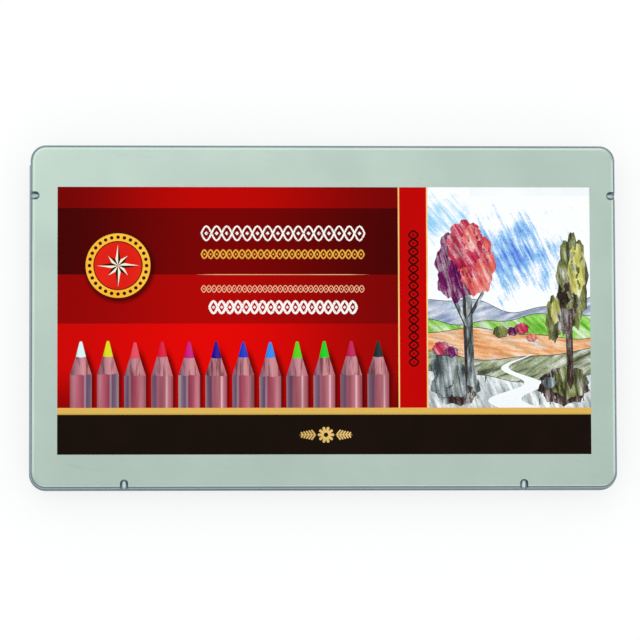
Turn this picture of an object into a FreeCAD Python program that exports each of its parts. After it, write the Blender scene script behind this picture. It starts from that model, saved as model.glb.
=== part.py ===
"""A flat hinged tin of pastel pencils.

The case is drawn from thin tinplate: a base with a rim rolled round a wire, and a lid that hangs
on that wire by two knuckles and shuts on four small stop dents. Inside lies a formed plastic tray
with a row of round wooden pencils, each with a soft coloured core.

Frame: X along the tin's length, Y towards the hinge, Z up, origin in the middle of the underside.
Sizes are millimetres, or degrees where the name ends in angle.
"""
import FreeCAD, Part
import math
import os

import Sketcher

SIZES = {
    # A pencil, and the soft core that fills its bore.
    "pencil_length": 175.0,
    "pencil_radius": 3.8,
    "point_length": 12.4,
    "point_radius": 0.5,
    "core_radius": 1.9,
    "core_gap": 0.02,
    # The tray that the pencils lie in, measured outwards from them.
    "pencil_seat_gap": 0.1,
    "trough_gap": 0.3,
    "trough_end_gap": 1.0,
    "trough_web": 0.8,
    "trough_rib": 1.1,
    "trough_lip": 1.1,
    "tray_end": 10.9,
    "tray_side": 2.0,
    "tray_gap": 0.4,
    "tray_skin": 0.6,
    "tray_foot": 0.4,
    "groove_height": 2.6,
    "groove_width": 5.0,
    "groove_crest": 0.8,
    "finger_well_length": 34.0,
    "finger_well_floor": 2.7,
    # The drawn base and its rolled rim.
    "tin_gauge": 0.3,
    "base_corner_radius": 3.2,
    "base_edge_radius": 1.5,
    "rim_over_pencils": 2.1,
    "rim_tail": 1.0,
    "rim_edge_gap": 0.19,
    # The hinge wire, and the lid's two knuckles that turn on it in windows of the rim.
    "wire_radius": 0.5,
    "wire_gap": 0.05,
    "wire_setback": 2.0,
    "knuckle_x": 62.0,
    "knuckle_width": 22.0,
    "knuckle_lean_angle": 25.0,
    "knuckle_curl_angle": 100.0,
    "knuckle_root": 0.7,
    "knuckle_slit": 0.4,
    "window_gap": 0.4,
    "window_drop": 0.5,
    # The lid.
    "lid_gap": 0.2,
    "lid_over_rim": 3.1,
    "lid_edge_radius": 1.6,
    "lid_skirt": 7.5,
    "back_skirt_lift": 0.3,
    "corner_lift": 0.35,
    "corner_margin": 1.0,
    "roll_radius": 0.35,
    "roll_proud": 0.5,
    # The stop dents in the lid's top edge, open to the outside, placed from the middle and from the back.
    "dent_radius": 1.4,
    "dent_reach": 3.2,
    "dent_slope_angle": 25.0,
    "dent_seat_gap": 0.1,
    "front_dent_x": 69.4,
    "side_dent_from_back": 17.7,
}
PENCIL_COUNT = 12

# The sharpened point: how much it narrows per millimetre.
POINT_SLOPE = "((Sizes.pencil_radius - Sizes.point_radius) / Sizes.point_length)"
CORE_FIT_RADIUS = "(Sizes.core_radius - Sizes.core_gap)"
# The pencil row and its troughs.
TROUGH_RADIUS = "(Sizes.pencil_radius + Sizes.trough_gap)"
TROUGH_LENGTH = "(Sizes.pencil_length + 2 * Sizes.trough_end_gap)"
PITCH = f"(2 * {TROUGH_RADIUS} + Sizes.trough_rib)"
ROW_DEPTH = f"({PENCIL_COUNT - 1} * {PITCH})"
TRAY_Z = "Sizes.tin_gauge"
TROUGH_Z = f"({TRAY_Z} + Sizes.trough_web + {TROUGH_RADIUS})"
TRAY_TOP = f"({TROUGH_Z} + Sizes.trough_lip)"
TRAY_LENGTH = f"({TROUGH_LENGTH} + 2 * Sizes.tray_end)"
TRAY_DEPTH = f"({ROW_DEPTH} + 2 * {TROUGH_RADIUS} + 2 * Sizes.tray_side)"
PENCIL_Z = f"({TRAY_Z} + Sizes.trough_web + Sizes.pencil_seat_gap + Sizes.pencil_radius)"
# Radii of the rolled rim, inside round the wire and outside.
CURL_IN = "(Sizes.wire_radius + Sizes.wire_gap)"
CURL_OUT = f"({CURL_IN} + Sizes.tin_gauge)"
# How far each piece's plan outline lies out from the base's inside.
WALL_OUT = "Sizes.tin_gauge"
RIM_OUT = f"({WALL_OUT} + {CURL_IN})"
SKIRT_INNER_OUT = f"({RIM_OUT} + {CURL_OUT} + Sizes.lid_gap)"
SKIRT_OUTER_OUT = f"({SKIRT_INNER_OUT} + Sizes.tin_gauge)"
INNER_LENGTH = f"({TRAY_LENGTH} + 2 * Sizes.tray_gap)"
INNER_DEPTH = f"({TRAY_DEPTH} + 2 * Sizes.tray_gap)"
# The middle of each back corner's bend, and the lid's outer faces.
CORNER_X = f"({INNER_LENGTH} / 2 - Sizes.base_corner_radius)"
CORNER_Y = f"({INNER_DEPTH} / 2 - Sizes.base_corner_radius)"
LID_X = f"({INNER_LENGTH} / 2 + {SKIRT_OUTER_OUT})"
LID_Y = f"({INNER_DEPTH} / 2 + {SKIRT_OUTER_OUT})"
# Radius of the base's bottom edge, inside.
INNER_EDGE_RADIUS = "(Sizes.base_edge_radius - Sizes.tin_gauge)"
# The rim's centre line is the hinge axis at the back, and the lid's dents stop just above the rim.
RIM_TOP = f"({PENCIL_Z} + Sizes.pencil_radius + Sizes.rim_over_pencils)"
RIM_Z = f"({RIM_TOP} - {CURL_OUT})"
HINGE_Y = f"({INNER_DEPTH} / 2 + {RIM_OUT})"
CASE_HEIGHT = f"({RIM_TOP} + Sizes.lid_over_rim)"
SKIRT_Z = f"({CASE_HEIGHT} - Sizes.lid_skirt)"
# A dent's round end lies in from the lid's outer face, and so does the rim's centre line.
DENT_IN = "(Sizes.dent_reach - Sizes.dent_radius)"
RIM_IN = f"({SKIRT_OUTER_OUT} - {RIM_OUT})"
# The bulge under a dent slopes down and out, with its seat gap to the rim.
BULGE_RADIUS = "(Sizes.dent_radius + Sizes.tin_gauge)"
DENT_SLOPE = "Sizes.dent_slope_angle * 1 deg"
RIM_TO_DENT = f"({CURL_OUT} + Sizes.dent_seat_gap + {BULGE_RADIUS})"
DENT_Z = f"({RIM_Z} + {RIM_TO_DENT} / cos({DENT_SLOPE}) + ({DENT_IN} - {RIM_IN}) * tan({DENT_SLOPE}))"
# The lid's back skirt and the bend of its knuckles, measured from the hinge axis.
SKIRT_IN = f"({CURL_OUT} + Sizes.lid_gap)"
SKIRT_OUT = f"({SKIRT_IN} + Sizes.tin_gauge)"
LEAN = "Sizes.knuckle_lean_angle * 1 deg"
KNUCKLE_BEND = f"(({SKIRT_OUT} - {CURL_OUT} * cos({LEAN})) / tan({LEAN}) - {CURL_OUT} * sin({LEAN}))"

# The numbers that sketches give to their axes, and to the points of a line or an arc.
H_AXIS = -1
V_AXIS = -2
START = 1
END = 2
CENTRE = 3
# An edge lies at a height when its ends are this close to it.
LEVEL_TOLERANCE = 1e-6

doc = FreeCAD.newDocument("pencil_tin")
sizes = doc.addObject("Spreadsheet::Sheet", "Sizes")
for row, (size_name, size) in enumerate(SIZES.items(), start=1):
    sizes.set(f"A{row}", size_name)
    sizes.set(f"B{row}", str(size))
    sizes.setAlias(f"B{row}", size_name)
doc.recompute()


def value(expression):
    """The number that an expression has with the present sizes: millimetres, or degrees."""
    result = sizes.evalExpression(expression)
    return float(getattr(result, "Value", result))


def bind(thing, **expressions):
    """Tie a feature's properties to expressions."""
    for name, expression in expressions.items():
        thing.setExpression(name, expression)


def place(thing, x="0", y="0", z="0"):
    """Tie a piece's place to expressions."""
    for axis, expression in zip("xyz", (x, y, z)):
        thing.setExpression(f"Placement.Base.{axis}", expression)


def origin_feature(body, role):
    return next(item for item in body.Origin.OriginFeatures if item.Role == role)


def new_sketch(body, name, plane, x="0", y="0", z="0"):
    """A sketch on one of the body's own planes, moved along the plane and off it."""
    sketch = body.newObject("Sketcher::SketchObject", name)
    sketch.AttachmentSupport = [(origin_feature(body, plane), "")]
    sketch.MapMode = "FlatFace"
    for axis, expression in zip("xyz", (x, y, z)):
        sketch.setExpression(f"AttachmentOffset.Base.{axis}", expression)
    return sketch


def constrain(sketch, *parts):
    return sketch.addConstraint(Sketcher.Constraint(*parts))


def measure(sketch, expression, kind, *parts):
    """A dimension of the sketch that follows an expression."""
    number = value(expression)
    index = constrain(sketch, kind, *parts, math.radians(number) if kind == "Angle" else number)
    sketch.setExpression(f"Constraints[{index}]", expression)


def locate(sketch, line, point, x=None, y=None):
    """Measure a point of the sketch from its origin; a plain 0 puts it on the axis."""
    for expression, kind, axis in ((x, "DistanceX", V_AXIS), (y, "DistanceY", H_AXIS)):
        if expression == "0":
            constrain(sketch, "PointOnObject", line, point, axis)
        elif expression is not None:
            measure(sketch, expression, kind, H_AXIS, START, line, point)


def draw_line(sketch, start, end):
    return sketch.addGeometry(Part.LineSegment(FreeCAD.Vector(*start), FreeCAD.Vector(*end)), False)


def draw_arc(sketch, centre, radius, start_angle, end_angle):
    circle = Part.Circle(FreeCAD.Vector(*centre), FreeCAD.Vector(0, 0, 1), radius)
    arc = Part.ArcOfCircle(circle, math.radians(start_angle), math.radians(end_angle))
    return sketch.addGeometry(arc, False)


def draw_polygon(sketch, corners):
    """A closed outline through corners given as pairs of expressions."""
    points = [(value(x), value(y)) for x, y in corners]
    lines = [draw_line(sketch, a, b) for a, b in zip(points, points[1:] + points[:1])]
    for line, following in zip(lines, lines[1:] + lines[:1]):
        constrain(sketch, "Coincident", line, END, following, START)
    for line, (x, y) in zip(lines, corners):
        locate(sketch, line, START, x, y)


def draw_rounded_rectangle(sketch, length, depth, radius):
    """A rounded outline about the sketch's origin, drawn from the start of its back edge."""
    half_x = f"({length} / 2 - {radius})"
    half_y = f"({depth} / 2 - {radius})"
    run_x, run_y, bend = value(half_x), value(half_y), value(radius)
    centres = [(-run_x, run_y), (-run_x, -run_y), (run_x, -run_y), (run_x, run_y)]
    outward = [(0, 1), (-1, 0), (0, -1), (1, 0)]
    lines = []
    arcs = []
    for turn, (out_x, out_y) in enumerate(outward):
        start, end = ((x + bend * out_x, y + bend * out_y) for x, y in (centres[turn - 1], centres[turn]))
        lines.append(draw_line(sketch, start, end))
        arcs.append(draw_arc(sketch, centres[turn], bend, 90 + 90 * turn, 180 + 90 * turn))
    for turn in range(4):
        constrain(sketch, "Tangent", lines[turn], END, arcs[turn], START)
        constrain(sketch, "Tangent", arcs[turn], END, lines[(turn + 1) % 4], START)
        constrain(sketch, "Horizontal" if turn % 2 == 0 else "Vertical", lines[turn])
    for arc in arcs[1:]:
        constrain(sketch, "Equal", arcs[0], arc)
    measure(sketch, radius, "Radius", arcs[0])
    locate(sketch, arcs[0], CENTRE, f"-{half_x}", half_y)
    locate(sketch, arcs[2], CENTRE, half_x, f"-{half_y}")


def draw_curl(sketch, curl_angle, stem_angle):
    """A curl of sheet about the sketch's origin, open where it meets its stem: outer arc, inner arc."""
    outer = draw_arc(sketch, (0, 0), value(CURL_OUT), value(curl_angle), stem_angle)
    inner = draw_arc(sketch, (0, 0), value(CURL_IN), value(curl_angle), stem_angle)
    tip = [sketch.Geometry[arc].StartPoint for arc in (inner, outer)]
    edge = draw_line(sketch, (tip[0].x, tip[0].y), (tip[1].x, tip[1].y))
    for arc, radius, point in ((inner, CURL_IN, START), (outer, CURL_OUT, END)):
        constrain(sketch, "Coincident", arc, CENTRE, H_AXIS, START)
        measure(sketch, radius, "Radius", arc)
        constrain(sketch, "Coincident", edge, point, arc, START)
    constrain(sketch, "PointOnObject", H_AXIS, START, edge)
    measure(sketch, curl_angle, "Angle", edge)
    return outer, inner


def add_feature(body, kind, name, profile=None, **expressions):
    feature = body.newObject(f"PartDesign::{kind}", name)
    if profile is not None:
        feature.Profile = profile
    bind(feature, **expressions)
    return feature


def draw_plan(sketch, out):
    """The case's plan outline, a given way out from the base's inside."""
    draw_rounded_rectangle(sketch, f"({INNER_LENGTH} + 2 * {out})", f"({INNER_DEPTH} + 2 * {out})",
                           f"(Sizes.base_corner_radius + {out})")


def rounded_block(name, out, bottom, top, edge_level, edge_radius):
    """A block with the case's plan outline and rounded edges at one height."""
    body = doc.addObject("PartDesign::Body", name)
    outline = new_sketch(body, f"{name}_outline", "XY_Plane", z=bottom)
    draw_plan(outline, out)
    pad = add_feature(body, "Pad", f"{name}_pad", outline, Length=f"{top} - {bottom}")
    doc.recompute()
    level = value(edge_level)
    edges = [f"Edge{number}" for number, edge in enumerate(pad.Shape.Edges, start=1)
             if all(abs(vertex.Z - level) < LEVEL_TOLERANCE for vertex in edge.Vertexes)]
    fillet = add_feature(body, "Fillet", f"{name}_edge", Radius=edge_radius)
    fillet.Base = (pad, edges)
    return body


def box(name, x, y, z, length, width, height):
    """A block from its low corner, all in expressions."""
    block = doc.addObject("Part::Box", name)
    bind(block, Length=length, Width=width, Height=height)
    place(block, x, y, z)
    return block


def fuse(name, shapes):
    joined = doc.addObject("Part::MultiFuse", name)
    joined.Shapes = shapes
    joined.Refine = True
    return joined


def cut(name, base, tool):
    remains = doc.addObject("Part::Cut", name)
    remains.Base = base
    remains.Tool = tool
    return remains


def dent_scoops(name, radius):
    """Four round-ended slots in the stop dents' places, with floors that slope out through the lid's edge."""
    front_y = f"-({LID_Y} - {DENT_IN})"
    side_x = f"({LID_X} - {DENT_IN})"
    side_y = f"({LID_Y} - Sizes.side_dent_from_back)"
    spots = (("-Sizes.front_dent_x", front_y, 0), ("Sizes.front_dent_x", front_y, 0),
             (f"-{side_x}", side_y, -90), (side_x, side_y, 90))
    run = f"({DENT_IN} + {radius})"
    rise = f"({CASE_HEIGHT} - {DENT_Z} + {radius})"
    scoops = []
    for number, (x, y, turn) in enumerate(spots, start=1):
        outward = FreeCAD.Rotation(FreeCAD.Vector(0, 0, 1), turn)
        ball = doc.addObject("Part::Sphere", f"{name}_ball_{number}")
        bind(ball, Radius=radius)
        stem = doc.addObject("Part::Cylinder", f"{name}_stem_{number}")
        bind(stem, Radius=radius, Height=rise)
        floor = doc.addObject("Part::Cylinder", f"{name}_floor_{number}")
        bind(floor, Radius=radius, Height=f"{run} / cos({DENT_SLOPE})")
        floor.Placement.Rotation = FreeCAD.Rotation(outward.multVec(FreeCAD.Vector(1, 0, 0)), 90)
        floor.setExpression("Placement.Rotation.Angle", f"90 deg + {DENT_SLOPE}")
        slot = doc.addObject("PartDesign::Body", f"{name}_slot_{number}")
        side = new_sketch(slot, f"{name}_side_{number}", "YZ_Plane")
        draw_polygon(side, [("0", "0"), (f"-{run}", f"-{run} * tan({DENT_SLOPE})"), (f"-{run}", rise), ("0", rise)])
        pad = add_feature(slot, "Pad", f"{name}_pad_{number}", side, Length=f"2 * {radius}")
        pad.SideType = "Symmetric"
        slot.Placement.Rotation = outward
        for piece in (ball, stem, floor, slot):
            place(piece, x, y, DENT_Z)
            scoops.append(piece)
    return fuse(name, scoops)


def sweep_round_case(name, out, height, draw_section):
    """A section swept right round the case, along the plan outline a given way out."""
    body = doc.addObject("PartDesign::Body", name)
    route = new_sketch(body, f"{name}_route", "XY_Plane", z=height)
    draw_plan(route, out)
    section = new_sketch(body, f"{name}_section", "YZ_Plane", f"{INNER_DEPTH} / 2 + {out}", height, CORNER_X)
    draw_section(section)
    pipe = add_feature(body, "AdditivePipe", f"{name}_pipe", section)
    pipe.Spine = route
    return body


def draw_roll_section(section):
    """The small outward roll along the lower edge of the lid's skirt."""
    circle = Part.Circle(FreeCAD.Vector(), FreeCAD.Vector(0, 0, 1), value("Sizes.roll_radius"))
    roll = section.addGeometry(circle, False)
    constrain(section, "Coincident", roll, CENTRE, H_AXIS, START)
    measure(section, "Sizes.roll_radius", "Radius", roll)


def make_knuckle(name, x):
    """A tab of the lid's back skirt, leant in under the wire and curled round it."""
    body = doc.addObject("PartDesign::Body", name)
    section = new_sketch(body, f"{name}_section", "YZ_Plane")
    lean = value(LEAN)
    outer, inner = draw_curl(section, "Sizes.knuckle_curl_angle * 1 deg", 360 - lean)
    top = value(KNUCKLE_BEND) + value("Sizes.knuckle_root")
    slants = []
    uprights = []
    for arc, reach in ((outer, SKIRT_OUT), (inner, SKIRT_IN)):
        foot = section.Geometry[arc].EndPoint
        rise = (value(reach) - foot.x) / math.tan(math.radians(lean))
        slants.append(draw_line(section, (foot.x, foot.y), (value(reach), foot.y + rise)))
        uprights.append(draw_line(section, (value(reach), foot.y + rise), (value(reach), top)))
        constrain(section, "Tangent", arc, END, slants[-1], START)
        constrain(section, "Coincident", slants[-1], END, uprights[-1], START)
        constrain(section, "Vertical", uprights[-1])
        locate(section, uprights[-1], START, x=reach)
    cap = draw_line(section, (value(SKIRT_OUT), top), (value(SKIRT_IN), top))
    constrain(section, "Coincident", uprights[0], END, cap, START)
    constrain(section, "Coincident", uprights[1], END, cap, END)
    constrain(section, "Horizontal", cap)
    locate(section, cap, START, y=f"{KNUCKLE_BEND} + Sizes.knuckle_root")
    measure(section, f"90 deg - {LEAN}", "Angle", slants[0])
    constrain(section, "Parallel", *slants)
    pad = add_feature(body, "Pad", f"{name}_pad", section, Length="Sizes.knuckle_width")
    pad.SideType = "Symmetric"
    place(body, x, HINGE_Y, RIM_Z)
    return body


def make_skirt_relief():
    """What is cut from the lid's skirt at the back, so that it clears the base as it swings."""
    low = f"({SKIRT_Z} - 2 * Sizes.roll_radius)"
    front = f"({CORNER_Y} - Sizes.corner_margin)"
    reach = f"({LID_Y} + 2 * Sizes.roll_proud - {front})"
    half = f"({LID_X} + 2 * Sizes.roll_proud)"
    corner = f"({half} - {CORNER_X} + Sizes.corner_margin)"
    back_height = f"{RIM_Z} + Sizes.back_skirt_lift - {low}"
    corner_height = f"{RIM_Z} + {CURL_OUT} + Sizes.corner_lift - {low}"
    slot = "(Sizes.knuckle_width + 2 * Sizes.knuckle_slit)"
    slot_height = f"{RIM_Z} + {KNUCKLE_BEND} - {low}"
    return fuse("skirt_relief", [
        box("relief_back", f"-{half}", front, low, f"2 * {half}", reach, back_height),
        box("relief_left_corner", f"-{half}", front, low, corner, reach, corner_height),
        box("relief_right_corner", f"{half} - {corner}", front, low, corner, reach, corner_height),
        box("relief_left_slot", f"-Sizes.knuckle_x - {slot} / 2", HINGE_Y, low, slot, reach, slot_height),
        box("relief_right_slot", f"Sizes.knuckle_x - {slot} / 2", HINGE_Y, low, slot, reach, slot_height)])


def make_lid():
    """The shallow lid: a drawn top and skirt with its stop dents, edge roll and knuckles."""
    outer_radius = "Sizes.lid_edge_radius"
    blank = rounded_block("lid_blank", SKIRT_OUTER_OUT, SKIRT_Z, CASE_HEIGHT, CASE_HEIGHT, outer_radius)
    hollow_low = f"({SKIRT_Z} - Sizes.roll_radius)"
    hollow_top = f"({CASE_HEIGHT} - Sizes.tin_gauge)"
    inner_radius = "Sizes.lid_edge_radius - Sizes.tin_gauge"
    hollow = rounded_block("lid_hollow", SKIRT_INNER_OUT, hollow_low, hollow_top, hollow_top, inner_radius)
    bulged = cut("lid_hollow_round_bulges", hollow, dent_scoops("dent_bulges", BULGE_RADIUS))
    drawn = cut("lid_drawn", blank, bulged)
    dented = cut("lid_dented", drawn, dent_scoops("dent_punches", "Sizes.dent_radius"))
    roll_out = f"({SKIRT_OUTER_OUT} + Sizes.roll_proud - Sizes.roll_radius)"
    roll = sweep_round_case("lid_roll", roll_out, SKIRT_Z, draw_roll_section)
    relieved = cut("lid_relieved", fuse("lid_rolled", [dented, roll]), make_skirt_relief())
    left = make_knuckle("left_knuckle", "-Sizes.knuckle_x")
    right = make_knuckle("right_knuckle", "Sizes.knuckle_x")
    return fuse("lid_shell", [relieved, left, right])


def make_base():
    """The drawn base with its curled rim, opened at the back for the lid's knuckles."""
    wall_top = f"({RIM_Z} - Sizes.rim_tail)"
    floor = "Sizes.tin_gauge"
    blank = rounded_block("base_blank", WALL_OUT, "0", wall_top, "0", "Sizes.base_edge_radius")
    hollow = rounded_block("base_hollow", "0", floor, RIM_Z, floor, INNER_EDGE_RADIUS)
    rim = sweep_round_case("base_rim", RIM_OUT, RIM_Z, draw_rim_section)
    rimmed = fuse("base_rimmed", [cut("base_drawn", blank, hollow), rim])
    return cut("base_shell", rimmed, make_hinge_windows())


def draw_rim_section(section):
    """The base wall's last stretch and its outward curl, about the hinge axis."""
    free_edge = f"180 deg + acos(({CURL_IN} - Sizes.rim_edge_gap) / {CURL_OUT})"
    outer, inner = draw_curl(section, free_edge, 180)
    tail = -value("Sizes.rim_tail")
    inside = draw_line(section, (-value(CURL_OUT), 0), (-value(CURL_OUT), tail))
    foot = draw_line(section, (-value(CURL_OUT), tail), (-value(CURL_IN), tail))
    outside = draw_line(section, (-value(CURL_IN), tail), (-value(CURL_IN), 0))
    constrain(section, "Tangent", outer, END, inside, START)
    constrain(section, "Coincident", inside, END, foot, START)
    constrain(section, "Coincident", foot, END, outside, START)
    constrain(section, "Tangent", inner, END, outside, END)
    constrain(section, "Vertical", inside)
    constrain(section, "Vertical", outside)
    constrain(section, "Horizontal", foot)
    locate(section, foot, START, y="-Sizes.rim_tail")


def make_hinge_windows():
    """What is cut from the back rim where the lid's knuckles turn on the bare wire."""
    width = "(Sizes.knuckle_width + 2 * Sizes.window_gap)"
    low = f"({RIM_Z} - {CURL_OUT} - Sizes.window_drop)"
    reach = f"(2 * {CURL_OUT})"
    front = f"{HINGE_Y} - {reach}"
    height = f"{RIM_Z} + {reach} - {low}"
    return fuse("hinge_windows", [
        box("left_window", f"-Sizes.knuckle_x - {width} / 2", front, low, width, f"2 * {reach}", height),
        box("right_window", f"Sizes.knuckle_x - {width} / 2", front, low, width, f"2 * {reach}", height)])


def make_hinge_wire():
    """The straight wire inside the back rim, which is the hinge's pin."""
    wire = doc.addObject("Part::Cylinder", "hinge_wire")
    half = f"({CORNER_X} - Sizes.wire_setback)"
    bind(wire, Radius="Sizes.wire_radius", Height=f"2 * {half}")
    wire.Placement.Rotation = FreeCAD.Rotation(FreeCAD.Vector(0, 1, 0), 90)
    place(wire, f"-{half}", HINGE_Y, RIM_Z)
    return wire


def make_tray():
    """The formed plastic tray, with a well across its middle where fingers lift a pencil."""
    body = rounded_block("pencil_tray", "-Sizes.tray_gap", TRAY_Z, TRAY_TOP, TRAY_Z, INNER_EDGE_RADIUS)
    cut_troughs(body)
    cut_grooves(body)
    well = new_sketch(body, "finger_well_outline", "XY_Plane", z=TRAY_TOP)
    half_x = "Sizes.finger_well_length / 2"
    half_y = f"({ROW_DEPTH} / 2 + {TROUGH_RADIUS})"
    draw_polygon(well, [(f"-{half_x}", f"-{half_y}"), (half_x, f"-{half_y}"),
                        (half_x, half_y), (f"-{half_x}", half_y)])
    well_depth = f"{TRAY_TOP} - {TRAY_Z} - Sizes.finger_well_floor"
    add_feature(body, "Pocket", "finger_well", well, Length=well_depth)
    hollow_tray_ends(body)
    return body


def repeat_across(body, feature, name, count):
    """Repeat a cut across the tray's depth, one pencil pitch apart."""
    doc.recompute()
    row = add_feature(body, "LinearPattern", name, Length=f"{count - 1} * {PITCH}")
    row.Originals = [feature]
    row.Direction = (origin_feature(body, "Y_Axis"), [""])
    row.Occurrences = count
    body.Tip = row


def cut_troughs(body):
    """One round-bottomed trough per pencil, along the tray's length."""
    section = new_sketch(body, "trough_section", "YZ_Plane")
    middle = f"(-{ROW_DEPTH} / 2)"
    top = f"({TRAY_TOP} + Sizes.trough_gap)"
    y, z, radius, high = value(middle), value(TROUGH_Z), value(TROUGH_RADIUS), value(top)
    floor = draw_arc(section, (y, z), radius, 180, 360)
    near = draw_line(section, (y - radius, high), (y - radius, z))
    far = draw_line(section, (y + radius, z), (y + radius, high))
    mouth = draw_line(section, (y + radius, high), (y - radius, high))
    constrain(section, "Tangent", near, END, floor, START)
    constrain(section, "Tangent", floor, END, far, START)
    constrain(section, "Coincident", far, END, mouth, START)
    constrain(section, "Coincident", mouth, END, near, START)
    constrain(section, "Vertical", near)
    constrain(section, "Vertical", far)
    constrain(section, "Horizontal", mouth)
    measure(section, TROUGH_RADIUS, "Radius", floor)
    locate(section, floor, CENTRE, middle, TROUGH_Z)
    locate(section, mouth, START, y=top)
    trough = add_feature(body, "Pocket", "trough", section, Length=TROUGH_LENGTH)
    trough.SideType = "Symmetric"
    repeat_across(body, trough, "trough_row", PENCIL_COUNT)


def cut_grooves(body):
    """The formed sheet's underside is grooved along each rib between two troughs."""
    section = new_sketch(body, "groove_section", "YZ_Plane", f"({PITCH} - {ROW_DEPTH}) / 2", TRAY_Z)
    foot = "Sizes.groove_width / 2"
    crest = "Sizes.groove_crest / 2"
    draw_polygon(section, [(f"-{foot}", "0"), (foot, "0"), (crest, "Sizes.groove_height"),
                           (f"-{crest}", "Sizes.groove_height")])
    groove = add_feature(body, "Pocket", "groove", section, Length=TROUGH_LENGTH)
    groove.SideType = "Symmetric"
    repeat_across(body, groove, "groove_row", PENCIL_COUNT - 1)


def hollow_tray_ends(body):
    """The formed sheet is hollow underneath beyond the troughs' ends."""
    inner = f"({TROUGH_LENGTH} / 2 + Sizes.tray_skin)"
    foot = f"({INNER_EDGE_RADIUS} + Sizes.tray_foot)"
    outer = f"({TRAY_LENGTH} / 2 - {foot})"
    half_y = f"({TRAY_DEPTH} / 2 - {foot})"
    for side, sign in (("left", "-"), ("right", "")):
        hollow = new_sketch(body, f"{side}_end_outline", "XY_Plane", z=TRAY_Z)
        draw_polygon(hollow, [(f"{sign}{inner}", f"-{half_y}"), (f"{sign}{outer}", f"-{half_y}"),
                              (f"{sign}{outer}", half_y), (f"{sign}{inner}", half_y)])
        pocket = add_feature(body, "Pocket", f"{side}_end_hollow", hollow,
                             Length=f"{TRAY_TOP} - {TRAY_Z} - Sizes.tray_skin")
        pocket.Reversed = True


def make_turned(name, corners, y):
    """A piece turned about its own long axis, lying along X in the pencil row."""
    body = doc.addObject("PartDesign::Body", name)
    profile = new_sketch(body, f"{name}_profile", "XZ_Plane")
    draw_polygon(profile, corners)
    turned = add_feature(body, "Revolution", f"{name}_turned", profile)
    turned.ReferenceAxis = (profile, ["H_Axis"])
    turned.Angle = 360
    place(body, "0", y, PENCIL_Z)
    return body


def make_pencil(number):
    """A round wooden barrel with a sharpened point, and the core that fills its bore."""
    blunt = "(-Sizes.pencil_length / 2)"
    tip = "(Sizes.pencil_length / 2)"
    shoulder = f"({tip} - Sizes.point_length)"
    wood_end = f"({tip} - (Sizes.core_radius - Sizes.point_radius) / {POINT_SLOPE})"
    core_shoulder = f"({tip} - ({CORE_FIT_RADIUS} - Sizes.point_radius) / {POINT_SLOPE})"
    y = f"({ROW_DEPTH} / 2 - {number - 1} * {PITCH})"
    barrel = make_turned(f"pencil_barrel_{number:02d}", [
        (blunt, "Sizes.core_radius"), (wood_end, "Sizes.core_radius"),
        (shoulder, "Sizes.pencil_radius"), (blunt, "Sizes.pencil_radius")], y)
    core = make_turned(f"pencil_core_{number:02d}", [
        (blunt, "0"), (tip, "0"), (tip, "Sizes.point_radius"),
        (core_shoulder, CORE_FIT_RADIUS), (blunt, CORE_FIT_RADIUS)], y)
    return [barrel, core]


def check_and_write(pieces):
    """Stop at anything unsound; otherwise write each piece to its own file."""
    doc.recompute()
    failed = [item.Label for item in doc.Objects if {"Invalid", "Error"} & set(item.State)]
    if failed:
        raise RuntimeError(f"these objects failed: {failed}")
    for piece in pieces:
        shape = piece.Shape
        if shape.isNull() or not shape.isValid() or len(shape.Solids) != 1:
            raise RuntimeError(f"{piece.Label} is not one sound solid")
    os.makedirs("parts", exist_ok=True)
    for piece in pieces:
        piece.Shape.exportStep(f"parts/{piece.Label}.step")
        print(f"{piece.Label}: {piece.Shape.Volume:.1f} mm3")


pieces = [make_base(), make_hinge_wire(), make_lid(), make_tray()]
for number in range(1, PENCIL_COUNT + 1):
    pieces += make_pencil(number)
check_and_write(pieces)
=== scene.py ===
"""Looks of a flat hinged tin of pastel pencils: satin tinplate, a printed lid, a tray and cedar pencils.

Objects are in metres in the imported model's frame: X along the tin, Y towards the hinge, Z up. Lengths
are written in millimetres, apart from those of the floor and the lamps. The printed design is laid out
on the lid's top and then cut into areas of ink.
"""
import math
import random

import bpy
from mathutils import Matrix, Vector
from mathutils.geometry import delaunay_2d_cdt


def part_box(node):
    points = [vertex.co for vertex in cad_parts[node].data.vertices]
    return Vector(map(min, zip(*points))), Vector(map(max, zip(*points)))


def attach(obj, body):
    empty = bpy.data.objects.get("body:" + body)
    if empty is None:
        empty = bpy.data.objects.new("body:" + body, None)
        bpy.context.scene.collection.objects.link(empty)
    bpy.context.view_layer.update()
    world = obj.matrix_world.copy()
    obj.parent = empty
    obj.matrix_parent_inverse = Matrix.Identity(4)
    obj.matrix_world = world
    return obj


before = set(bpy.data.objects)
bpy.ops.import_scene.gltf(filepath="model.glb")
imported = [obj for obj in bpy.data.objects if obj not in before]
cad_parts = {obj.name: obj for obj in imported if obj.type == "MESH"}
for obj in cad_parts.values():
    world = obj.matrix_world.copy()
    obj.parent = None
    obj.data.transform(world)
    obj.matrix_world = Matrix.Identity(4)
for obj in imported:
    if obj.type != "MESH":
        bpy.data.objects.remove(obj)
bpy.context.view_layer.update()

MM = 0.001
lid_low, lid_high = (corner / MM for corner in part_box("lid_shell"))

# The tin in plan: half sizes of the lid's skirt and of the base's rim, and the bend of their corners.
# The lid's edge roll stands proud of its skirt, and the base's rim lies inside it.
ROLL_PROUD = 0.5
RIM_INSIDE = 0.5
LID_HALF = (lid_high.x - ROLL_PROUD, lid_high.y)
BASE_HALF = tuple(half - RIM_INSIDE for half in LID_HALF)
CORNER_RADIUS = 5.4
# How far in from the outer face the painted shade of the walls begins, and where it is full.
WALL_BEGINS = 0.9
WALL_FULL = 0.3
# The sharpened point of the pencils in the tray.
CONE_LENGTH = 12.4

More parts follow.
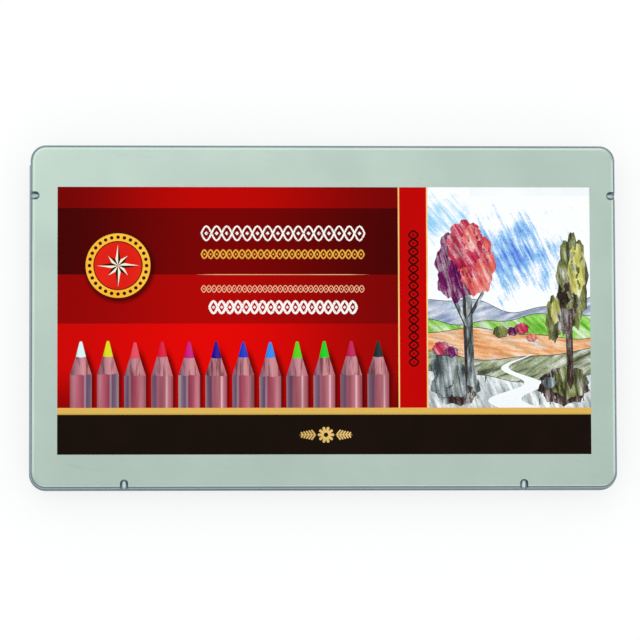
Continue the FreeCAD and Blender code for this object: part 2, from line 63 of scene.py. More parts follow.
# The printed panel: its margins from the lid's box, then its bands from the back to the front.
PANEL_LEFT = lid_low.x + 9.95
PANEL_RIGHT = lid_high.x - 9.6
PANEL_BACK = lid_high.y - 14.7
PANEL_FRONT = lid_low.y + 12.3
DARK_BACK = PANEL_BACK - 7.4
MIDDLE_BACK = DARK_BACK - 23.2
BRIGHT_BACK = MIDDLE_BACK - 17.1
GOLD_BACK = BRIGHT_BACK - 29.3
BLACK_BACK = GOLD_BACK - 2.4
# Two gold lines part the red field, a plain side band and the picture.
FIELD_RIGHT = PANEL_LEFT + 118.4
LINE_WIDTH = 0.5
PICTURE_LEFT = FIELD_RIGHT + 10.4
PICTURE_WIDTH = PANEL_RIGHT - PICTURE_LEFT
# The row of printed pencils: each one's lead and shoulder, measured down from its tip.
FIRST_PENCIL = PANEL_LEFT + 8.16
PENCIL_PITCH = 9.38
PENCIL_HALF = 3.76
TIP_Y = GOLD_BACK + 23.1
LEAD_LENGTH = 5.5
POINT_LENGTH = 11.8
LEAD_HALF = 1.75
LEAD_SAG = 0.25
TIP_HALF = 0.55
# The shallow wave that a sharpener leaves along the lacquer's edge.
EDGE_WAVE = 0.16
EDGE_STEPS = 8
# The round badge on the field, and how far its soft shadow is shifted along X and Y.
BADGE_X = PANEL_LEFT + 21.0
BADGE_Y = MIDDLE_BACK + 3.1
BADGE_RADIUS = 11.6
BADGE_SHADOW = (0.5, -0.8)
# The ornament on the black foot.
ORNAMENT_X = PANEL_LEFT + 93.1
ORNAMENT_Y = BLACK_BACK - 7.0
ORNAMENT_HALF = 9.3
# How far the film of ink stands above the lid, and its whole thickness: the rest is sunk into the lid.
INK_RISE = 0.02
INK_DEPTH = 0.03
# Corners of the design closer than this are one corner.
SAME_PLACE = 1e-5
# Widths of thin strokes: the rule between the braids, skylines, dabs of leaves and blades of grass.
RULE_WIDTH = 0.26
SKYLINE_WIDTH = 0.22
DAB_WIDTH = 0.75
BLADE_WIDTH = 0.3

# The camera looks down on the lid from far above, a little in front of it and to its left.
VIEW_WIDTH = 222.5
VIEW_CENTRE = Vector((-1.4, -1.3, lid_high.z))
CAMERA_ANGLES = (4.5, -2.3, -0.18)
LENS = 225.0
SENSOR = 36.0
# The floor's half size in metres, and how far it is plain white where it is seen.
FLOOR_HALF = 3.0
FLOOR_WHITE = 0.75
# The lamps: name, place and size in metres, and energy.
SOFTBOXES = (
    ("back_softbox", (-0.2, 0.6, 1.1), (1.4, 0.9), 2.7),
    ("back_strip", (0.0, 1.0, 0.4), (1.6, 0.3), 0.6),
    ("front_strip", (0.0, -1.0, 0.85), (1.6, 0.3), 1.1),
    ("left_strip", (-1.0, 0.1, 0.8), (0.3, 1.2), 0.6),
    ("right_strip", (1.0, 0.1, 0.8), (0.3, 1.2), 0.8),
)


def srgb(red, green, blue):
    """A screen colour, 0 to 255, as the linear colour that shaders take."""
    def linear(level):
        share = level / 255
        return share / 12.92 if share <= 0.04045 else ((share + 0.055) / 1.055) ** 2.4
    return (linear(red), linear(green), linear(blue), 1.0)


def grey(level):
    """A linear grey."""
    return (level, level, level, 1.0)


def scaled(colour, factor, lift=0.0):
    """A colour made darker by a factor, or paler by a lift."""
    return tuple(factor * level + lift for level in colour[:3]) + (1.0,)


# Bare paper, and the painted shade on the tin's walls and on the steep sides of its dents.
PAPER = srgb(248, 249, 248)
WALL_SHADE = srgb(196, 199, 218)
DENT_SHADE = srgb(128, 146, 190)
# The red in the shadow of the badge and of the printed pencils, and between the grains of chalk.
BADGE_SHADE = srgb(36, 0, 0)
PENCIL_SHADE = srgb(70, 0, 0)
UNDER_CHALK = srgb(132, 14, 10)
# The colours of the twelve pencils, in their order.
LEADS = [srgb(214, 238, 236), srgb(214, 216, 22), srgb(222, 76, 92), srgb(216, 24, 58),
         srgb(196, 24, 124), srgb(34, 8, 140), srgb(22, 54, 190), srgb(46, 132, 230),
         srgb(88, 204, 20), srgb(26, 202, 34), srgb(188, 32, 82), srgb(22, 46, 42)]


def set_stops(ramp, stops):
    """Give a colour ramp its stops, as pairs of place and colour."""
    while len(ramp.elements) < len(stops):
        ramp.elements.new(1.0)
    for element, (place, colour) in zip(ramp.elements, stops):
        element.position = place
        element.color = colour


class Finish:
    """A material being built: its nodes, its main shader and short ways to add to them."""

    MIX_A, MIX_B, MIX_RESULT = 6, 7, 2

    def __init__(self, name, **sockets):
        self.material = bpy.data.materials.new(name)
        self.material.use_nodes = True
        self.tree = self.material.node_tree
        self.shader = self.tree.nodes["Principled BSDF"]
        coordinates = self.add("ShaderNodeTexCoord")
        self.place = coordinates.outputs["Object"]
        self.facing = coordinates.outputs["Normal"]
        for socket, value in sockets.items():
            self.shader.inputs[socket.replace("_", " ")].default_value = value

    def add(self, kind, inputs=(), **settings):
        """Add a node, and set or link its inputs."""
        made = self.tree.nodes.new(kind)
        for name, value in settings.items():
            setattr(made, name, value)
        for socket, value in dict(inputs).items():
            self.feed(made.inputs[socket], value)
        return made

    def feed(self, socket, value):
        """Link an output to a socket, or set the socket to a value."""
        if isinstance(value, bpy.types.NodeSocket):
            self.tree.links.new(value, socket)
        else:
            socket.default_value = value

    def use(self, socket, value):
        """Feed an input of the main shader."""
        self.feed(self.shader.inputs[socket], value)

    def math(self, operation, *values):
        """The result of one operation on some values."""
        return self.add("ShaderNodeMath", enumerate(values), operation=operation).outputs[0]

    def axis(self, name):
        """A place's coordinate along one axis, in metres."""
        return self.add("ShaderNodeSeparateXYZ", {"Vector": self.place}).outputs[name]

    def span(self, value, low, high, to_low=0.0, to_high=1.0, smooth=False):
        """A value carried from one range to another, and held at its ends."""
        kind = "SMOOTHSTEP" if smooth else "LINEAR"
        return self.add("ShaderNodeMapRange", {
            "Value": value, "From Min": low, "From Max": high, "To Min": to_low, "To Max": to_high,
        }, interpolation_type=kind).outputs["Result"]

    def noise(self, scale, stretch=(1, 1, 1), turn=0.0, detail=3.0):
        """Noise with a number of waves to the metre, stretched and turned about Z."""
        place = self.add("ShaderNodeMapping", {
            "Vector": self.place, "Rotation": (0, 0, math.radians(turn))}).outputs["Vector"]
        place = self.add("ShaderNodeMapping", {"Vector": place, "Scale": stretch}).outputs["Vector"]
        return self.add("ShaderNodeTexNoise", {
            "Vector": place, "Scale": scale, "Detail": detail}).outputs["Fac"]

    def ramp(self, value, *stops, kind="LINEAR"):
        """The colour that a ramp with these stops has at a value."""
        made = self.add("ShaderNodeValToRGB", {"Fac": value})
        made.color_ramp.interpolation = kind
        set_stops(made.color_ramp, stops)
        return made.outputs["Color"]

    def blend(self, share, under, over, how="MIX"):
        """One colour laid over another by a share."""
        made = self.add("ShaderNodeMix", data_type="RGBA", blend_type=how)
        for socket, value in ((0, share), (self.MIX_A, under), (self.MIX_B, over)):
            self.feed(made.inputs[socket], value)
        return made.outputs[self.MIX_RESULT]

    def bump(self, height, depth, under=None):
        """A bump of a depth in millimetres, laid over another one if that is given."""
        made = self.add("ShaderNodeBump", {"Height": height, "Distance": depth * MM})
        if under is not None:
            self.feed(made.inputs["Normal"], under)
        return made.outputs["Normal"]


def tinplate(name, dull, bright, steep_shade, half_sizes):
    """Satin lacquer on drawn tinplate: cloudy, slightly wavy, with painted shade on its walls and steep
    sides.
    """
    tin = Finish(name, Metallic=0.9)
    cloud = tin.noise(38, detail=4)
    peel = tin.noise(1500, detail=2)
    wave = tin.noise(16, stretch=(1, 1.6, 1), detail=1)
    scuff = tin.noise(90, stretch=(1, 14, 14), turn=12, detail=4)
    colour = tin.ramp(cloud, (0.32, dull), (0.68, bright))
    worn = tin.ramp(scuff, (0.62, grey(1.0)), (0.78, grey(0.94)))
    lacquered = tin.blend(1.0, colour, worn, "MULTIPLY")
    squares = []
    for axis, half in zip("XY", half_sizes):
        past = tin.math("SUBTRACT", tin.math("ABSOLUTE", tin.axis(axis)), (half - CORNER_RADIUS) * MM)
        squares.append(tin.math("POWER", tin.math("MAXIMUM", past, 0.0), 2.0))
    from_bend = tin.math("SQRT", tin.math("ADD", *squares))
    # Painted shade: a share that grows where the top bends down into the walls.
    begins = (CORNER_RADIUS - WALL_BEGINS) * MM
    full = (CORNER_RADIUS - WALL_FULL) * MM
    wall = tin.span(from_bend, begins, full, smooth=True)
    level = tin.add("ShaderNodeSeparateXYZ", {"Vector": tin.facing}).outputs["Z"]
    steep = tin.span(tin.math("ABSOLUTE", level), 0.5, 0.85, 1.0, 0.0)
    # Painted shade, darker and bluer, on steep faces such as the sides of the dents and on the walls.
    painted_steep_shade = tin.blend(1.0, lacquered, steep_shade, "MULTIPLY")
    painted_wall_shade = tin.blend(1.0, lacquered, WALL_SHADE, "MULTIPLY")
    tin.use("Base Color", tin.blend(wall, tin.blend(steep, lacquered, painted_steep_shade), painted_wall_shade))
    grain = tin.math("ADD", peel, tin.math("MULTIPLY", cloud, 0.5))
    tin.use("Roughness", tin.span(grain, 0.4, 1.1, 0.2, 0.28))
    tin.use("Normal", tin.bump(peel, 0.003, tin.bump(wave, 0.4)))
    return tin.material


def drawn_steel():
    """Bright steel wire with fine drawing lines along it."""
    steel = Finish("drawn_steel", Metallic=1.0)
    lines = steel.noise(120, stretch=(1, 40, 40))
    steel.use("Base Color", steel.ramp(lines, (0.3, srgb(150, 152, 156)), (0.7, srgb(206, 208, 210))))
    steel.use("Roughness", steel.span(lines, 0.3, 0.7, 0.22, 0.4))
    steel.use("Normal", steel.bump(lines, 0.01))
    return steel.material


def formed_plastic():
    """Dark formed sheet plastic, matt with a fine grain and a few lighter rubs."""
    plastic = Finish("formed_plastic")
    grain = plastic.noise(2600, detail=3)
    rub = plastic.noise(70, stretch=(1, 6, 6), detail=5)
    plastic.use("Base Color", plastic.ramp(rub, (0.4, srgb(34, 34, 37)), (0.75, srgb(58, 58, 62))))
    plastic.use("Roughness", plastic.span(grain, 0.3, 0.7, 0.42, 0.6))
    plastic.use("Normal", plastic.bump(grain, 0.02))
    return plastic.material


def lacquered_cedar(shoulder):
    """Cedar under clear lacquer, and bare cut wood past the shoulder of the sharpened point."""
    cedar = Finish("lacquered_cedar", Coat_Roughness=0.12)
    cut = cedar.math("GREATER_THAN", cedar.axis("X"), shoulder)
    grain = cedar.noise(30, stretch=(1, 22, 22), detail=5)
    pores = cedar.noise(160, stretch=(1, 26, 26), detail=2)
    barrel = cedar.ramp(grain, (0.3, srgb(128, 66, 52)), (0.5, srgb(172, 104, 84)),
                        (0.72, srgb(204, 146, 120)))
    bare = cedar.ramp(grain, (0.3, srgb(176, 122, 96)), (0.5, srgb(212, 162, 132)),
                      (0.72, srgb(232, 192, 164)))
    flecks = cedar.ramp(pores, (0.28, grey(0.55)), (0.42, grey(1.0)))
    cedar.use("Base Color", cedar.blend(1.0, cedar.blend(cut, barrel, bare), flecks, "MULTIPLY"))
    cedar.use("Roughness", cedar.span(cut, 0, 1, 0.42, 0.78))
    cedar.use("Coat Weight", cedar.span(cut, 0, 1, 0.7, 0.0))
    cedar.use("Normal", cedar.bump(pores, 0.03))
    return cedar.material


def pastel(name, colour):
    """A chalky pastel core: matt, powdery, with paler grains of clay."""
    core = Finish(name, Specular_IOR_Level=0.2)
    powder = core.noise(2200, detail=4)
    deep = scaled(colour, 0.82)
    pale = scaled(colour, 0.75, 0.25)
    core.use("Base Color", core.ramp(powder, (0.3, deep), (0.5, colour), (0.74, pale)))
    core.use("Roughness", core.span(powder, 0.3, 0.7, 0.82, 0.98))
    core.use("Normal", core.bump(powder, 0.05))
    return core.material


class Ink(Finish):
    """Printing ink under thin lacquer, with the fine grain of the print."""

    def __init__(self, name):
        super().__init__(name, Specular_IOR_Level=0.02)

    def print(self, colour):
        """Finish the material with its colour and the grain."""
        grain = self.noise(3800, detail=2)
        speckle = self.ramp(grain, (0.3, grey(0.93)), (0.7, grey(1.04)))
        self.use("Base Color", self.blend(1.0, colour, speckle, "MULTIPLY"))
        self.use("Roughness", self.span(grain, 0.3, 0.7, 0.44, 0.56))
        return self.material

    def along_row(self):
        """A place along the row of printed pencils, in pitches: a pencil lies between two whole numbers."""
        from_first = self.math("SUBTRACT", self.axis("X"), FIRST_PENCIL * MM)
        return self.math("ADD", self.math("DIVIDE", from_first, PENCIL_PITCH * MM), 0.5)

    def pencil_number(self):
        """The number of the nearest printed pencil, from 0."""
        return self.math("FLOOR", self.along_row())

    def across_pencil(self):
        """How far a place lies across the nearest printed pencil: -1 on its left edge, 1 on its right."""
        offset = self.math("SUBTRACT", self.math("FRACT", self.along_row()), 0.5)
        return self.math("MULTIPLY", offset, PENCIL_PITCH / PENCIL_HALF)

    def from_middle(self, x, y, half_width, half_height):
        """How far a place lies from the middle of an ellipse: 0 there, 1 on its outline."""
        across = self.math("DIVIDE", self.math("SUBTRACT", self.axis("X"), x * MM), half_width * MM)
        up = self.math("DIVIDE", self.math("SUBTRACT", self.axis("Y"), y * MM), half_height * MM)
        squares = [self.math("POWER", self.math("ABSOLUTE", share), 2.0) for share in (across, up)]
        return self.math("SQRT", self.math("ADD", *squares))

    def badge_shade(self):
        """The badge's soft shadow, strongest at its edge."""
        shift_x, shift_y = BADGE_SHADOW
        away = self.from_middle(BADGE_X + shift_x, BADGE_Y + shift_y, BADGE_RADIUS, BADGE_RADIUS)
        return self.span(away, 0.94, 1.14, 0.75, 0.0, smooth=True)

    def pencil_shade(self):
        """The printed pencils' soft shadows: one to the right of each, and a dark foot between them."""
        below = self.math("SUBTRACT", TIP_Y * MM, self.axis("Y"))
        half = self.span(below, 0.0, POINT_LENGTH * MM)
        number = self.pencil_number()
        across = self.across_pencil()
        on_right = self.math("GREATER_THAN", across, 0.0)
        on_left = self.math("LESS_THAN", across, 0.0)
        own = self.math("MULTIPLY", on_right, self.span(number, -1.0, 0.0))
        neighbour = self.math("MULTIPLY", on_left, self.span(number, 0.0, 1.0))
        cast = 0.0
        for side, start in ((own, 0.0), (neighbour, PENCIL_PITCH / PENCIL_HALF)):
            clear = self.math("SUBTRACT", self.math("ADD", across, start), half)
            soft = self.span(clear, 0.0, 0.75, 1.0, 0.0, smooth=True)
            cast = self.math("MAXIMUM", cast, self.math("MULTIPLY", soft, side))
        cast = self.math("MULTIPLY", cast, self.span(below, 0.0, 7.0 * MM, 0.0, 0.85, smooth=True))
        foot = self.span(below, 7.0 * MM, 24.0 * MM, 0.0, 0.6, smooth=True)
        return self.math("MAXIMUM", cast, foot)


def mixed_ink(name, dark, light, scale=60):
    """A plain ink that varies softly between two close colours."""
    ink = Ink(name)
    return ink.print(ink.ramp(ink.noise(scale), (0.35, dark), (0.65, light)))


def red_ink(name, left, peak, right, under_badge=False, under_pencils=False):
    """Red that is brightest near the middle of the field, with the badge's or the pencils' soft shadow."""
    ink = Ink(name)
    along = ink.span(ink.axis("X"), PANEL_LEFT * MM, FIELD_RIGHT * MM)
    colour = ink.ramp(along, (0.0, left), (0.45, peak), (0.48, peak), (1.0, right), kind="EASE")
    if under_badge:
        colour = ink.blend(ink.badge_shade(), colour, BADGE_SHADE)
    if under_pencils:
        colour = ink.blend(ink.pencil_shade(), colour, PENCIL_SHADE)
    return ink.print(colour)


def gold_ink():
    """Gold that turns from orange at its back edge to a darker front edge."""
    ink = Ink("gold_ink")
    rise = ink.span(ink.axis("Y"), BLACK_BACK * MM, GOLD_BACK * MM)
    return ink.print(ink.ramp(rise, (0.0, srgb(190, 150, 74)), (0.3, srgb(214, 180, 86)),
                              (1.0, srgb(224, 174, 86))))


def barrel_ink():
    """A lacquered barrel as printed: a violet shaded side, a bright line and a reddish lit side."""
    ink = Ink("barrel_ink")
    number = ink.pencil_number()
    vary = ink.add("ShaderNodeTexWhiteNoise", {"W": number}, noise_dimensions="1D").outputs["Value"]
    side = ink.span(ink.math("LESS_THAN", number, 1.5), 0, 1, 1.0, -1.0)
    across = ink.math("MULTIPLY", ink.across_pencil(), side)
    across = ink.math("ADD", across, ink.span(vary, 0, 1, -0.16, 0.16))
    place = ink.span(across, -1.0, 1.0)
    rosy = ink.ramp(place, (0.0, srgb(164, 140, 142)), (0.08, srgb(124, 102, 122)),
                    (0.24, srgb(102, 80, 106)), (0.32, srgb(164, 134, 146)), (0.4, srgb(150, 66, 84)),
                    (0.6, srgb(176, 84, 102)), (0.82, srgb(198, 126, 138)), (1.0, srgb(148, 92, 98)))
    tawny = ink.ramp(place, (0.0, srgb(158, 130, 136)), (0.1, srgb(126, 98, 116)),
                     (0.26, srgb(106, 74, 98)), (0.32, srgb(150, 91, 110)), (0.46, srgb(158, 84, 96)),
                     (0.7, srgb(185, 116, 123)), (0.76, srgb(230, 188, 196)), (0.82, srgb(195, 122, 131)),
                     (1.0, srgb(153, 78, 88)))
    chosen = ink.math("GREATER_THAN", ink.math("FRACT", ink.math("MULTIPLY", vary, 7.0)), 0.5)
    grain = ink.noise(420, stretch=(1, 0.06, 1), detail=4)
    lines = ink.ramp(grain, (0.35, srgb(150, 104, 104)), (0.6, grey(1.0)))
    return ink.print(ink.blend(0.4, ink.blend(chosen, rosy, tawny), lines, "MULTIPLY"))


def cut_wood_ink():
    """The sharpened wood as printed, with dark grain lines running to the point."""
    ink = Ink("cut_wood_ink")
    shade = ink.ramp(ink.span(ink.across_pencil(), -1.0, 1.0), (0.05, srgb(122, 92, 106)),
                     (0.32, srgb(172, 114, 126)), (0.6, srgb(206, 142, 147)), (0.95, srgb(182, 111, 116)))
    grain = ink.noise(900, stretch=(1, 0.12, 1), detail=4)
    lines = ink.ramp(grain, (0.36, srgb(140, 100, 100)), (0.52, grey(1.0)))
    return ink.print(ink.blend(0.8, shade, lines, "MULTIPLY"))


def lead_ink(number, colour):
    """A printed lead, a little darker along its left side."""
    ink = Ink(f"lead_ink_{number:02d}")
    deep = scaled(colour, 0.62)
    pale = scaled(colour, 0.97, 0.02)
    across = ink.span(ink.across_pencil(), -0.5, 0.5)
    return ink.print(ink.ramp(across, (0.0, deep), (0.3, colour), (0.62, pale), (1.0, colour)))


def hatched_ink(name, deep, light, turn, paper, dark=0.0, middle=None):
    """Coloured-pencil shading at an angle, with darker strokes across it and bare paper between.

    Where a middle is given, the shading fades away from it: its place and its half sizes.
    """
    ink = Ink(name)
    strokes = ink.noise(900, stretch=(0.12, 1, 1), turn=turn, detail=3)
    tooth = ink.noise(2600, detail=2)
    patches = ink.noise(150, detail=2)
    drawn = ink.math("ADD", ink.math("MULTIPLY", strokes, 0.6), ink.math("MULTIPLY", tooth, 0.25))
    drawn = ink.math("ADD", drawn, ink.span(patches, 0.3, 0.7, 0.0, 0.15))
    if middle:
        drawn = ink.math("ADD", drawn, ink.span(ink.from_middle(*middle), 0.2, 1.0, -0.06, 0.26))
    colour = ink.ramp(drawn, (0.36, deep), (0.5, light), (paper, PAPER))
    if dark:
        accents = ink.noise(520, stretch=(0.16, 1, 1), turn=turn + 14, detail=4)
        darker = ink.ramp(accents, (0.38, grey(0.06)), (0.54, grey(1.0)))
        colour = ink.blend(dark, colour, darker, "MULTIPLY")
    return ink.print(colour)


def chalk_ink(name, colour, under):
    """A pastel stroke, with the colour below showing between its grains."""
    ink = Ink(name)
    return ink.print(ink.ramp(ink.noise(2600, detail=3), (0.3, under), (0.42, colour), (1.0, colour)))


# The painted design: (piece, ink, outline), later shapes over earlier ones.
design = []
inks = {}


def paint(piece, ink, outline):
    """Add a shape to the design, with its outline turned anticlockwise."""
    area = sum(a[0] * b[1] - b[0] * a[1] for a, b in zip(outline, outline[1:] + outline[:1]))
    design.append((piece, ink, outline if area > 0 else outline[::-1]))


def around(x, y, radius, angle):
    """The point at an angle on a circle."""
    return (x + radius * math.cos(angle), y + radius * math.sin(angle))


def rectangle(left, front, right, back):
    """The corners of a rectangle along the axes."""
    return [(left, front), (right, front), (right, back), (left, back)]


def disc(x, y, radius, corners=64):
    """A circle, as an even polygon."""
    return [around(x, y, radius, math.tau * k / corners) for k in range(corners)]


def diamond(x, y, half_width, half_height):
    """A diamond about its middle."""
    return [(x - half_width, y), (x, y - half_height), (x + half_width, y), (x, y + half_height)]


def stroke(start, end, width):
    """A straight pen stroke with pointed ends."""
    start, end = Vector(start), Vector(end)
    run = end - start
    side = Vector((-run.y, run.x)).normalized() * width / 2
    near = start + run * 0.12
    far = end - run * 0.12
    return [tuple(point) for point in (start, near - side, far - side, end, far + side, near + side)]


def wave(start, end, swing, cycles, phase, width):
    """A ribbon that swings to and fro about the line between two points."""
    run = Vector(end) - Vector(start)
    along = run.normalized()
    side = Vector((-along.y, along.x))
    steps = 12 * cycles
    left, right = [], []
    for k in range(steps + 1):
        angle = math.tau * cycles * k / steps + phase
        middle = Vector(start) + run * k / steps + side * swing * math.sin(angle)
        slope = swing * math.cos(angle) * math.tau * cycles / run.length
        half = (side - along * slope).normalized() * width / 2
        left.append(tuple(middle + half))
        right.append(tuple(middle - half))
    return left + right[::-1]


def blob(x, y, half_width, half_height, lobes, turn=0.0, corners=56):
    """A rounded, lobed outline such as a tree's crown or a bush."""
    outline = []
    for k in range(corners):
        angle = math.tau * k / corners
        swell = 1 + 0.07 * math.sin(lobes * angle + turn)
        swell += 0.04 * math.sin((2 * lobes + 1) * angle + 2 * turn)
        outline.append((x + half_width * swell * math.cos(angle),
                        y + half_height * swell * math.sin(angle)))
    return outline


def paint_field():
    """The red field in four bands, the side band, the gold lines and the black foot."""
    piece = "print_field"
    inks["red_top"] = red_ink("red_top", srgb(114, 3, 2), srgb(186, 4, 1), srgb(120, 3, 2))
    inks["red_dark"] = red_ink("red_dark", srgb(68, 1, 1), srgb(118, 1, 1), srgb(74, 1, 1),
                               under_badge=True)
    inks["red_middle"] = red_ink("red_middle", srgb(144, 3, 2), srgb(172, 4, 2), srgb(122, 3, 2),
                                 under_badge=True)
    inks["red_bright"] = red_ink("red_bright", srgb(200, 5, 3), srgb(222, 4, 1), srgb(156, 4, 2),
                                 under_pencils=True)
    inks["red_side"] = mixed_ink("red_side", srgb(185, 3, 2), srgb(192, 3, 2))
    inks["gold"] = gold_ink()
    inks["pale_gold"] = mixed_ink("pale_gold", srgb(236, 190, 104), srgb(250, 214, 140))
    inks["black"] = mixed_ink("black", srgb(22, 13, 7), srgb(27, 16, 10))
    edges = (PANEL_BACK, DARK_BACK, MIDDLE_BACK, BRIGHT_BACK, GOLD_BACK)
    names = ("red_top", "red_dark", "red_middle", "red_bright")
    for name, back, front in zip(names, edges, edges[1:]):
        paint(piece, name, rectangle(PANEL_LEFT, front, FIELD_RIGHT, back))
    paint(piece, "red_side", rectangle(FIELD_RIGHT, GOLD_BACK, PICTURE_LEFT, PANEL_BACK))
    for left in (FIELD_RIGHT, PICTURE_LEFT - LINE_WIDTH):
        paint(piece, "pale_gold", rectangle(left, GOLD_BACK, left + LINE_WIDTH, PANEL_BACK))
    paint(piece, "gold", rectangle(PANEL_LEFT, BLACK_BACK, PANEL_RIGHT, GOLD_BACK))
    paint(piece, "black", rectangle(PANEL_LEFT, PANEL_FRONT, PANEL_RIGHT, BLACK_BACK))


def paint_pencils():
    """Twelve sharpened pencils standing on the gold band, no two sharpened quite alike."""
    piece = "print_pencils"
    inks["barrel"] = barrel_ink()
    inks["cut_wood"] = cut_wood_ink()
    hand = random.Random(5)
    for number, colour in enumerate(LEADS, start=1):
        inks[f"lead_{number}"] = lead_ink(number, colour)
        x = FIRST_PENCIL + (number - 1) * PENCIL_PITCH
        tip = TIP_Y + hand.uniform(-0.3, 0.2)
        lead = tip - LEAD_LENGTH + hand.uniform(-0.25, 0.25)
        shoulder = tip - POINT_LENGTH + hand.uniform(-0.25, 0.25)
        edge = []
        for k in range(-EDGE_STEPS, EDGE_STEPS + 1):
            sway = EDGE_WAVE * math.cos(math.tau * k / EDGE_STEPS + number)
            edge.append((x + PENCIL_HALF * k / EDGE_STEPS, shoulder + sway))
        foot = [(x - PENCIL_HALF, GOLD_BACK), (x + PENCIL_HALF, GOLD_BACK)]
        paint(piece, "barrel", [foot[1], *edge[::-1], foot[0]])
        paint(piece, "cut_wood", [*edge, (x + LEAD_HALF, lead), (x - LEAD_HALF, lead)])
        bottom = [(x - LEAD_HALF, lead), (x, lead - LEAD_SAG), (x + LEAD_HALF, lead)]
        point = [around(x, tip - TIP_HALF, TIP_HALF, math.pi * k / 8) for k in range(9)]
        paint(piece, f"lead_{number}", bottom + point)


def paint_braid(ink, start, end, swing, cycles, width):
    """Two waves that cross, with a diamond in each eye between them."""
    piece = "print_braids"
    for phase in (0, math.pi):
        paint(piece, ink, wave(start, end, swing, cycles, phase, width))
    eyes = 2 * cycles
    for k in range(eyes):
        eye = Vector(start).lerp(Vector(end), (k + 0.5) / eyes)
        paint(piece, ink, diamond(eye.x, eye.y, 0.28 * swing, 0.28 * swing))


def paint_braids():
    """Four rows of plain braid on the field with a fine rule between them, and one along the side band."""
    inks["rule"] = mixed_ink("rule", srgb(226, 150, 96), srgb(244, 196, 140))
    # Ink, colour, left and right end, height over the middle band's back, swing, cycles and width.
    rows = (("white_chalk", srgb(250, 240, 232), 49.9, 106.8, 14.4, 2.5, 8, 0.62),
            ("gold_chalk", srgb(232, 172, 66), 49.9, 106.6, 7.1, 1.5, 13, 0.5),
            ("cream_chalk", srgb(236, 176, 140), 49.9, 106.6, -5.0, 1.2, 16, 0.34),
            ("bold_chalk", srgb(252, 244, 238), 52.7, 104.0, -11.4, 2.1, 9, 0.85))
    for ink, colour, left, right, height, swing, cycles, width in rows:
        inks[ink] = chalk_ink(ink, colour, UNDER_CHALK)
        y = MIDDLE_BACK + height
        paint_braid(ink, (PANEL_LEFT + left, y), (PANEL_LEFT + right, y), swing, cycles, width)
    rule_left = (PANEL_LEFT + 47.9, MIDDLE_BACK)
    rule_right = (PANEL_LEFT + 108.6, MIDDLE_BACK)
    paint("print_braids", "rule", stroke(rule_left, rule_right, RULE_WIDTH))
    inks["dark_chalk"] = chalk_ink("dark_chalk", srgb(44, 4, 4), srgb(110, 4, 3))
    x = FIELD_RIGHT + 5.4
    back_end = (x, MIDDLE_BACK + 15.4)
    front_end = (x, MIDDLE_BACK - 32.0)
    paint_braid("dark_chalk", back_end, front_end, swing=1.6, cycles=8, width=0.6)


def paint_emblem():
    """A round badge: a beaded gold ring about a pointed star, in shares of the badge's radius."""
    piece = "print_emblem"
    inks["badge_gold"] = mixed_ink("badge_gold", srgb(240, 160, 30), srgb(252, 190, 60))
    inks["badge_dark"] = mixed_ink("badge_dark", srgb(32, 18, 12), srgb(44, 26, 18))
    inks["badge_red"] = mixed_ink("badge_red", srgb(206, 22, 14), srgb(226, 36, 22))
    inks["badge_cream"] = mixed_ink("badge_cream", srgb(246, 226, 196), srgb(253, 240, 216))
    rings = ((1.0, "badge_dark"), (0.97, "badge_gold"), (0.74, "badge_dark"), (0.71, "badge_red"))
    for share, ink in rings:
        paint(piece, ink, disc(BADGE_X, BADGE_Y, share * BADGE_RADIUS))
    beads = 28
    for k in range(beads):
        bead = around(BADGE_X, BADGE_Y, 0.855 * BADGE_RADIUS, math.tau * k / beads)
        paint(piece, "badge_dark", disc(*bead, 0.055 * BADGE_RADIUS, 12))
    points = 8
    for k in range(points):
        reach = 0.64 if k % 2 == 0 else 0.42
        angle = math.tau * k / points
        tip = around(BADGE_X, BADGE_Y, reach * BADGE_RADIUS, angle)
        for side, ink in ((-1, "badge_dark"), (1, "badge_cream")):
            notch = around(BADGE_X, BADGE_Y, 0.2 * BADGE_RADIUS, angle + side * math.pi / points)
            paint(piece, ink, [(BADGE_X, BADGE_Y), tip, notch])


def paint_ornament():
    """A small gold rosette on the black foot, with a leafy sprig on either side of it."""
    piece, ink = "print_ornament", "ornament"
    x, y = ORNAMENT_X, ORNAMENT_Y
    inks[ink] = mixed_ink(ink, srgb(200, 160, 84), srgb(228, 190, 112))
    petals = 10
    petal_start = 0.7
    petal_end = 2.9
    for k in range(petals):
        angle = math.tau * k / petals
        heart = around(x, y, petal_start, angle)
        paint(piece, ink, stroke(heart, around(x, y, petal_end, angle), width=0.95))
    stem_start = 3.2
    leaves = 5
    first_leaf = 3.7
    leaf_pitch = 1.05
    longest_leaf = 2.3
    for side in (-1, 1):
        stem_end = (x + side * ORNAMENT_HALF, y)
        paint(piece, ink, stroke((x + side * stem_start, y), stem_end, width=0.3))
        for k in range(leaves):
            foot = (x + side * (first_leaf + leaf_pitch * k), y)
            length = longest_leaf - 0.26 * k
            for lean in (-1, 1):
                tip = (foot[0] + side * 0.62 * length, y + lean * 0.78 * length)
                paint(piece, ink, stroke(foot, tip, width=0.55))


PICTURE = "print_picture"


def in_picture(across, up):
    """A place in the picture, measured from its right side and from its foot."""
    return (PANEL_RIGHT - across, GOLD_BACK + up)


